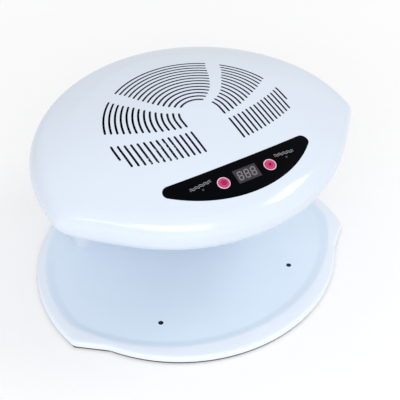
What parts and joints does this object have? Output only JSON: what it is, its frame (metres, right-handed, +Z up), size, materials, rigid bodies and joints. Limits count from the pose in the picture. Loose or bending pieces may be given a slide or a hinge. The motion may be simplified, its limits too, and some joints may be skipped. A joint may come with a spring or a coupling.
{
  "type": "nail polish fan dryer",
  "caption": "Tabletop fan dryer for painted nails: a flat base for the hands, a rear neck and a domed head with a slotted air intake that blows air down, with two push buttons.",
  "frame": {"origin": "on the table, under the middle of the base's width and depth", "axes": "+X to the right along the width as the user sits before it, +Y towards the neck at the back, +Z up"},
  "size_m": [0.319, 0.2866, 0.193],
  "materials": {
    "white_shell": "gloss",
    "tinted_shell": "gloss",
    "dark_plate": "matt",
    "foot_rubber": "matt",
    "steel": "plated",
    "frame_steel": "plated",
    "dark_window": "gloss",
    "circuit_board": "satin",
    "wire": "satin",
    "gland_rubber": "matt",
    "coil_tape": "gloss",
    "capacitor_sleeve": "gloss",
    "grey_plastic": "satin",
    "mica": "satin",
    "heating_alloy": "bare",
    "motor_can": "plated",
    "impeller_plastic": "satin",
    "black_panel": "gloss",
    "module_grey": "matt",
    "pink_button": "satin",
    "ring_white": "gloss",
    "switch_black": "matt",
    "indicator_lens": "gloss",
    "led_resin": "gloss"
  },
  "bodies": {
    "housing": {"base_tray": "white_shell", "base_plate": "dark_plate", "rubber_feet": "foot_rubber", "base_screws": "steel", "left_sensor_window": "dark_window", "right_sensor_window": "dark_window", "left_sensor_board": "circuit_board", "right_sensor_board": "circuit_board", "sensor_leads": "wire", "neck_frame": "frame_steel", "neck_front_cover": "white_shell", "neck_rear_cover": "white_shell", "neck_frame_screws": "steel", "neck_cover_screws": "steel", "cord_gland": "gland_rubber", "power_board": "circuit_board", "transformer": "coil_tape", "capacitor": "capacitor_sleeve", "power_board_screws": "steel", "dome_lower_pan": "white_shell", "dome_top_shell": "tinted_shell", "dome_screws": "steel", "outlet_grille": "white_shell", "fan_duct": "grey_plastic", "duct_screws": "steel", "heater_frame": "mica", "heater_rings": "heating_alloy", "thermal_cutout": "steel", "motor_bracket": "grey_plastic", "bracket_screws": "steel", "fan_motor": "motor_can", "panel_plate": "black_panel", "display_window": "dark_window", "display_module": "module_grey", "control_board": "circuit_board", "board_screws": "steel", "cool_button_ring": "ring_white", "hot_button_ring": "ring_white", "cool_switch": "switch_black", "hot_switch": "switch_black", "left_indicator": "indicator_lens", "right_indicator": "indicator_lens", "indicator_leds": "led_resin", "wiring_loom": "wire"},
    "fan": {"motor_shaft": "steel", "fan_impeller": "impeller_plastic"},
    "cool_key": {"cool_button": "pink_button", "cool_plunger": "ring_white"},
    "hot_key": {"hot_button": "pink_button", "hot_plunger": "ring_white"}
  },
  "joints": [
    {"name": "fan_spin", "type": "hinge", "parent": "housing", "child": "fan", "pos_m": [0, -0.0245, 0.15], "axis": [0, 0, 1], "continuous": true},
    {"name": "cool_button_press", "type": "slide", "parent": "housing", "child": "cool_key", "axis": [0, 0.2981, -0.9545], "range_m": [0, 0.0006], "stiffness_N_per_m": 1500},
    {"name": "hot_button_press", "type": "slide", "parent": "housing", "child": "hot_key", "axis": [0, 0.2981, -0.9545], "range_m": [0, 0.0006], "stiffness_N_per_m": 1500}
  ]
}
